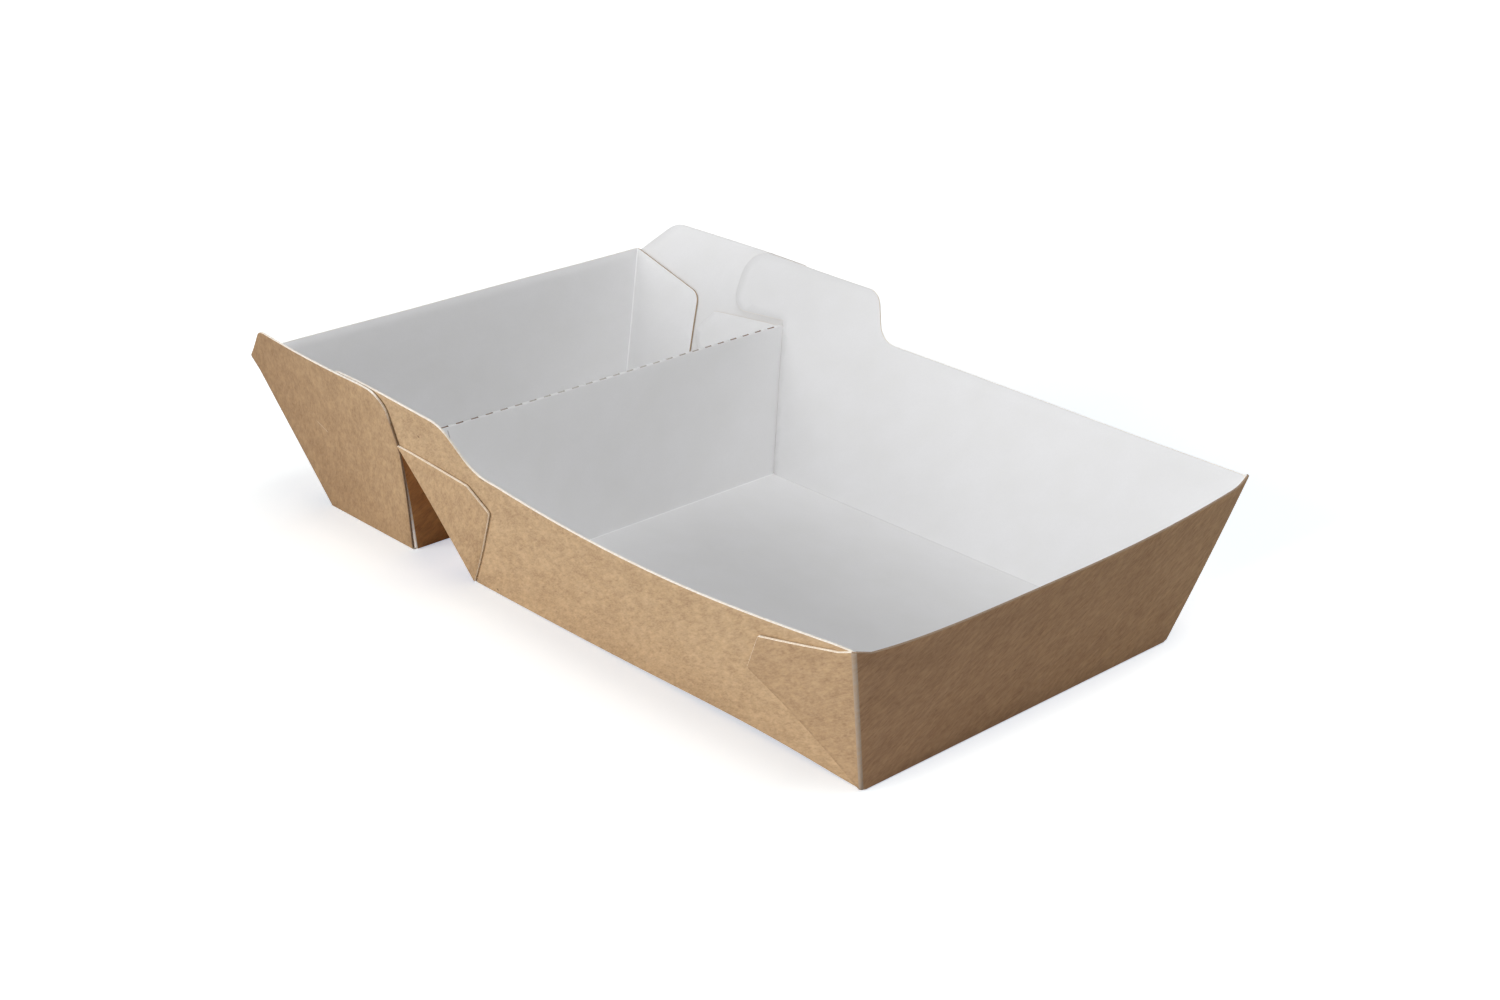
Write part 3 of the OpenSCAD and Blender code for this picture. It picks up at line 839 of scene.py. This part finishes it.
def bowed(points):
    """The set of the folded board: walls bow outwards between their folds, the near floor edge
    lifts, the rear wall stands a little askew and the far front corner is pressed in. up is 1 at the
    front wall's height, t runs along the large compartment, s across the tray."""
    x, y, z = points.T
    far = y > 0
    height = np.clip(z - MID_Z, 0, None)
    up = height / FRONT_H
    rear_x = -height * math.tan(DIVIDER_FRONT_LEAN)
    front_x = FLOOR_L + height * math.tan(FRONT_LEAN)
    t = ramp(x, rear_x, front_x)
    side_y = half_w(OUTER) + height * math.tan(SIDE_LEAN)
    s = np.clip(y / side_y, -1, 1)
    in_rear = ramp(-x, GAP, GAP + DIP_L)

    def pick(pair):
        return np.where(far, pair[1], pair[0])

    side_out = pick(SIDE_BOW) * up * np.sin(np.pi * t ** pick(SIDE_BOW_SKEW)) ** pick(SIDE_BOW_POWER)
    u = ramp(x, pick(REAR_BOW_FROM), pick(REAR_BOW_TO))
    side_out += (
        pick(REAR_BOW) * (height / REAR_H) ** REAR_BOW_RISE * np.sin(np.pi * u) ** REAR_BOW_POWER)
    side_out -= np.where(far, 0, EAR_PULL) * up * in_rear
    side_out -= np.where(far, CORNER_PULL, 0) * up ** 2 * ramp(t, *CORNER_PULL_ZONE) ** 2
    side_out *= ramp(np.abs(s), *SIDE_ZONE)
    held = pick(FRONT_HELD) * np.abs(s) ** pick(FRONT_BOW_POWER)
    front_out = FRONT_BOW * up * (1 - held) * ramp(t, *FRONT_ZONE)
    lift = (
        EDGE_LIFT * np.sin(np.pi * t ** EDGE_LIFT_SKEW) ** EDGE_LIFT_POWER
        * ramp(-s, *EDGE_LIFT_ZONE) ** 2 * np.clip(1 - up, 0, 1))
    move_x = front_out * math.cos(FRONT_LEAN) + REAR_SHIFT * in_rear * (1 - s) / 2
    move_y = np.sign(y) * side_out * math.cos(SIDE_LEAN) - FAR_PULL * t * np.clip(s, 0, 1)
    move_z = (
        lift - front_out * math.sin(FRONT_LEAN) - side_out * math.sin(SIDE_LEAN)
        - REAR_DROP * up * in_rear)
    noise.seed_set(WAVE_SEED)
    wave = np.array([noise.noise_vector(Vector(p / WAVE_L)) for p in points]) * WAVE
    wave *= ramp(up, 0, WAVE_FULL_UP)[:, None]
    return points + np.stack([move_x, move_y, move_z], 1) + wave


def corner_normals(points, faces):
    """Normals at the points, each face weighted by its angle there, and the faces' own."""
    normals = np.zeros_like(points)
    own = []
    for face in faces:
        p = points[face]
        n = np.cross(p[2] - p[0], p[-1] - p[1]) if len(face) == 4 else np.cross(p[1] - p[0], p[2] - p[0])
        n = unit(n)
        own.append(n)
        a, b = np.roll(p, -1, 0) - p, np.roll(p, 1, 0) - p
        cos = (a * b).sum(1) / (np.linalg.norm(a, axis=1) * np.linalg.norm(b, axis=1))
        normals[face] += np.arccos(np.clip(cos, -1, 1))[:, None] * n
    return normals / np.linalg.norm(normals, axis=1)[:, None], own


def rim_edges(faces):
    """Edges that only one face uses, as (from, to, face), in the direction in which it runs."""
    used = {}
    for k, face in enumerate(faces):
        for i, a in enumerate(face):
            b = face[(i + 1) % len(face)]
            used.setdefault((min(a, b), max(a, b)), []).append((a, b, k))
    return [found[0] for found in used.values() if len(found) == 1]


def board_shell(points, faces):
    """A closed board round its middle surface: its vertices, its faces, their material slots, and
    the point of the surface that each vertex belongs to."""
    normals, own = corner_normals(points, faces)
    rim = rim_edges(faces)
    outward = np.zeros_like(points)
    for a, b, k in rim:
        outward[[a, b]] += unit(np.cross(points[b] - points[a], own[k]))
    on_rim = sorted({i for a, b, _ in rim for i in (a, b)})
    for i in on_rim:
        outward[i] = unit(outward[i])
    half, count = BOARD / 2, len(points)
    rim_points = points[on_rim] + outward[on_rim] * RIM
    rim_normals = normals[on_rim] * (half - RIM)
    vertices = np.vstack([
        points + normals * half, points - normals * half,
        rim_points + rim_normals, rim_points - rim_normals])
    shell = faces + [[i + count for i in reversed(face)] for face in faces]
    slots = [WHITE_SLOT] * len(faces) + [KRAFT_SLOT] * len(faces)
    rim_place = {i: k for k, i in enumerate(on_rim)}
    upper, lower = 2 * count, 2 * count + len(on_rim)
    for a, b, _ in rim:
        ring_a, ring_b = (
            [i, upper + rim_place[i], lower + rim_place[i], i + count] for i in (a, b))
        for k in range(3):
            shell.append([ring_b[k], ring_a[k], ring_a[k + 1], ring_b[k + 1]])
            slots.append(EDGE_SLOT)
    return vertices, shell, slots, [*range(count), *range(count), *on_rim, *on_rim]


def make_board(sheet, name, materials):
    """The sheet as an object of board thickness, with its looks as attributes."""
    faces = [list(face) for face in sheet.faces]
    vertices, shell, slots, came_from = board_shell(bowed(np.array(sheet.points)), faces)
    vertices[:, 0] += FOLD_X
    mesh = bpy.data.meshes.new(name)
    mesh.from_pydata([tuple(v) for v in vertices], [], [[int(i) for i in f] for f in shell])
    for material in materials:
        mesh.materials.append(material)
    mesh.polygons.foreach_set("material_index", slots)
    mesh.polygons.foreach_set("use_smooth", [slot != EDGE_SLOT for slot in slots])
    for look, size in LOOKS.items():
        kind, field = ("FLOAT", "value") if size == 1 else ("FLOAT_VECTOR", "vector")
        values = np.array(sheet.looks[look])[came_from].astype(np.float32)
        mesh.attributes.new(look, kind, "POINT").data.foreach_set(field, values.ravel())
    mesh.validate()
    mesh.update()
    board = bpy.data.objects.new(name, mesh)
    bpy.context.scene.collection.objects.link(board)
    return board


def srgb(r, g, b):
    """A colour as the eye reads it, 0 to 255, as a linear one."""
    linear = [(c / 255 + 0.055) ** 2.4 / 1.055 ** 2.4 if c > 10 else c / 255 / 12.92 for c in (r, g, b)]
    return (*linear, 1.0)


class Graph:
    """A material's node tree. Inputs are named by their label, with _ for each space, or by _ and
    their place. Each is given another node's output or a constant."""

    def __init__(self, name):
        self.material = bpy.data.materials.new(name)
        self.material.use_nodes = True
        self.tree = self.material.node_tree
        self.shader = self.tree.nodes["Principled BSDF"]

    def feed(self, node, **inputs):
        for key, value in inputs.items():
            socket = node.inputs[int(key[1:]) if key[1:].isdigit() else key.replace("_", " ")]
            if isinstance(value, bpy.types.NodeSocket):
                self.tree.links.new(value, socket)
            else:
                socket.default_value = value

    def add(self, kind, settings=None, **inputs):
        made = self.tree.nodes.new("ShaderNode" + kind)
        for key, value in (settings or {}).items():
            setattr(made, key, value)
        self.feed(made, **inputs)
        return made

    def attribute(self, name, output="Vector"):
        return self.add("Attribute", {"attribute_name": name}).outputs[output]

    def noise(self, vector, scale, detail=3.0, stretch=1.0, roughness=0.5):
        """Noise between 0 and 1 whose spots are about 1/scale long, stretched along grain x."""
        mapped = self.add("Mapping", Vector=vector, Scale=(1 / stretch, 1, 1)).outputs[0]
        made = self.add("TexNoise", Vector=mapped, Scale=scale, Detail=detail, Roughness=roughness)
        return made.outputs["Fac"]

    def between(self, value, low, high, to_low=0.0, to_high=1.0):
        """value from low..high mapped to to_low..to_high, held at both ends."""
        made = self.add(
            "MapRange", Value=value, From_Min=low, From_Max=high, To_Min=to_low, To_Max=to_high)
        return made.outputs[0]

    def math(self, operation, *values):
        inputs = {f"_{place}": value for place, value in enumerate(values)}
        return self.add("Math", {"operation": operation}, **inputs).outputs[0]

    def mix(self, share, a, b):
        return self.add("Mix", {"data_type": "RGBA"}, _0=share, _6=a, _7=b).outputs[2]

    def tinted(self, colour, tint):
        return self.add("VectorMath", {"operation": "MULTIPLY"}, _0=colour, _1=tint).outputs[0]

    def covered(self, colour, where, share, over):
        """colour with the colour over on top, which hides share of it at the places where."""
        return self.mix(self.math("MULTIPLY", where, share), colour, srgb(*over))

    def marked(self):
        """1 on the panel's mark, 0 beside it."""
        split = self.add("SeparateXYZ", _0=self.attribute("mark"))
        along = self.between(self.math("ABSOLUTE", split.outputs[0]), *MARK_END)
        across = self.between(self.math("ABSOLUTE", split.outputs[1]), *MARK_SIDE)
        return self.math("MULTIPLY", along, across)

    def finish(self, colour, height, bump, strength, roughness, gloss):
        """Gives the shader its colour, its bump and its constants, and returns the material."""
        normal = self.add("Bump", Strength=strength, Distance=bump, Height=height).outputs[0]
        self.feed(
            self.shader, Base_Color=colour, Normal=normal, Roughness=roughness,
            Specular_IOR_Level=gloss)
        return self.material


def kraft_material():
    """Uncoated brown side: soft blotches, stretched fibres, a few dark specks, scuffed folds, and
    painted light and shade from each panel's tint.
    """
    g = Graph("kraft")
    grain = g.attribute("grain")
    cloud = g.between(g.noise(grain, *CLOUDS), *SOFT)
    blotch = g.between(g.noise(grain, *BLOTCHES), *CRISP)
    streak = g.between(g.noise(grain, *STREAKS), *CRISP)
    fibre = g.between(g.noise(grain, *FIBRES), *SOFT)
    colour = g.mix(cloud, srgb(*KRAFT_DARK), srgb(*KRAFT_PALE))
    colour = g.covered(colour, blotch, *KRAFT_BLOTCH)
    colour = g.covered(colour, streak, *KRAFT_STREAK)
    colour = g.covered(colour, fibre, *KRAFT_FIBRE)
    cells = g.add("TexVoronoi", Vector=grain, Scale=SPECK_CELLS)
    in_speck = g.between(cells.outputs["Distance"], *SPECK_EDGE)
    draw = g.add("SeparateColor", Color=cells.outputs["Color"]).outputs[0]
    speck = g.math("MULTIPLY", in_speck, g.math("LESS_THAN", draw, SPECK_SHARE))
    colour = g.covered(colour, speck, *KRAFT_SPECK)
    wear = g.between(g.noise(grain, *WEAR), *WORN)
    colour = g.covered(colour, g.attribute("scuff", "Fac"), wear, SCUFF)
    # Painted light and shade: each panel's brown side lighter or darker, warmer in the tunnel
    colour = g.tinted(colour, g.attribute("brown_tint"))
    colour = g.covered(colour, g.marked(), *KRAFT_MARK)
    height = g.math("ADD", g.math("MULTIPLY", fibre, FIBRE_HEIGHT), g.noise(grain, *KRAFT_TOOTH))
    return g.finish(colour, height, *KRAFT_FINISH)


def white_material():
    """Coated white side: matt, with faint clouds from the board beneath, a fine tooth, and painted light
    and shade from each panel's tint, brightest on folds.
    """
    g = Graph("white_inside")
    grain = g.attribute("grain")
    cloud = g.between(g.noise(grain, *WHITE_CLOUDS), *SOFT)
    spot = g.between(g.noise(grain, *WHITE_GRAIN), *WIDE)
    colour = g.mix(cloud, srgb(*WHITE_DARK), srgb(*WHITE_PALE))
    colour = g.covered(colour, spot, *WHITE_SPOT)
    # Painted light and shade on the white side, brighter on folds
    colour = g.tinted(colour, g.attribute("white_tint"))
    colour = g.covered(colour, g.marked(), *WHITE_MARK)
    return g.finish(colour, g.noise(grain, *WHITE_TOOTH), *WHITE_FINISH)


def edge_material():
    """Die-cut edge: pale pulp between the two faces, tinted, with a painted highlight on the flaps'
    edges and painted shade in the slits and at the small side wall's front.
    """
    g = Graph("cut_edge")
    pulp = g.between(g.noise(g.attribute("grain"), *PULP), *SOFT)
    colour = g.mix(pulp, srgb(*PULP_DARK), srgb(*PULP_PALE))
    # Painted highlight and shade on some cut edges
    colour = g.tinted(colour, g.attribute("rim_tint"))
    return g.finish(colour, pulp, *EDGE_FINISH)


def make_camera():
    """The photograph's view, from above the near front corner."""
    data = bpy.data.cameras.new("camera")
    data.sensor_width = SENSOR
    data.lens = LENS
    data.clip_start, data.clip_end = CLIP
    camera = bpy.data.objects.new("camera", data)
    back = Vector((math.sin(YAW) * math.cos(PITCH), -math.cos(YAW) * math.cos(PITCH), math.sin(PITCH)))
    right = Vector((math.cos(YAW), math.sin(YAW), 0))
    turn = Matrix((right, back.cross(right), back)).transposed()
    place = Matrix.Translation(Vector(CAMERA_PLACE) + Vector((FOLD_X, 0, 0)))
    camera.matrix_world = place @ turn.to_4x4() @ Matrix.Rotation(ROLL, 4, "Z")
    bpy.context.scene.collection.objects.link(camera)
    bpy.context.scene.camera = camera


def floor_glow(g):
    """The glow that lifts the floor to white for the camera, with a painted shadow where the tray meets
    it and painted light before the tray.
    """
    place = g.add("TexCoord").outputs["Object"]
    x = g.add("SeparateXYZ", _0=place).outputs[0]
    before = g.between(x, *BEFORE_X)
    colour = g.mix(g.between(x, *BEHIND_X), GLOW_BEHIND, GLOW_BESIDE)
    colour = g.mix(before, colour, GLOW_BEFORE)
    # Painted contact shadow: the glow dimmed where the tray closes off the floor around it
    beside = g.add("AmbientOcclusion", {"samples": CONTACT_SAMPLES}, Distance=CONTACT_REACH)
    shade = g.mix(g.between(beside.outputs["AO"], *CONTACT_OPEN), CONTACT_SHADOW_TINT, UNSHADED)
    away = g.add("VectorMath", {"operation": "LENGTH"}, _0=place).outputs["Value"]
    # Painted light over the shadow before the tray
    more = g.math("MULTIPLY_ADD", before, PAINTED_LIGHT_BEFORE, 1.0)
    strength = g.math("MULTIPLY", g.between(away, *GLOW_AWAY), more)
    return g.add("Emission", Color=g.tinted(colour, shade), Strength=strength).outputs[0]


def make_floor():
    """Pale floor that shows white to the camera and keeps the tray's soft shadow."""
    mesh = bpy.data.meshes.new("floor")
    corners = [(x * FLOOR_REACH, y * FLOOR_REACH, 0) for x, y in ((-1, -1), (1, -1), (1, 1), (-1, 1))]
    mesh.from_pydata(corners, [], [(0, 1, 2, 3)])
    floor = bpy.data.objects.new("floor", mesh)
    bpy.context.scene.collection.objects.link(floor)
    g = Graph("floor")
    g.tree.nodes.remove(g.shader)
    plain = g.add("BsdfDiffuse", Color=FLOOR_COLOUR).outputs[0]
    shown = g.add("BsdfDiffuse", Color=SHOWN_COLOUR).outputs[0]
    white = g.add("AddShader", _0=shown, _1=floor_glow(g)).outputs[0]
    to_camera = g.add("LightPath").outputs["Is Camera Ray"]
    surface = g.add("MixShader", _0=to_camera, _1=plain, _2=white).outputs[0]
    g.feed(g.tree.nodes["Material Output"], Surface=surface)
    mesh.materials.append(g.material)


def make_world():
    """White for the camera; it lights nothing."""
    world = bpy.data.worlds.new("studio")
    world.use_nodes = True
    nodes, links = world.node_tree.nodes, world.node_tree.links
    background = nodes["Background"]
    background.inputs["Color"].default_value = (1, 1, 1, 1)
    path = nodes.new("ShaderNodeLightPath")
    links.new(path.outputs["Is Camera Ray"], background.inputs["Strength"])
    bpy.context.scene.world = world


def make_lamp(name, azimuth, elevation, energy):
    """A large soft square lamp, aimed at the tray from LAMP_FAR away."""
    data = bpy.data.lights.new(name, "AREA")
    data.shape, data.size, data.energy = "SQUARE", LAMP_SIZE, energy
    lamp = bpy.data.objects.new(name, data)
    a, e = math.radians(azimuth), math.radians(elevation)
    away = Vector((math.cos(e) * math.cos(a), math.cos(e) * math.sin(a), math.sin(e)))
    lamp.location = away * LAMP_FAR
    lamp.rotation_euler = (-lamp.location).to_track_quat("-Z", "Y").to_euler()
    bpy.context.scene.collection.objects.link(lamp)


def make_lights():
    """A low key from the near side, a fill from beyond, and two lamps above."""
    make_world()
    for lamp in LAMPS:
        make_lamp(*lamp)


make_camera()
tray = make_board(make_sheet(), "tray_sheet", [white_material(), kraft_material(), edge_material()])
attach(tray, "root")
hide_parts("tray")
make_floor()
make_lights()
bpy.context.scene.view_settings.view_transform = "Standard"
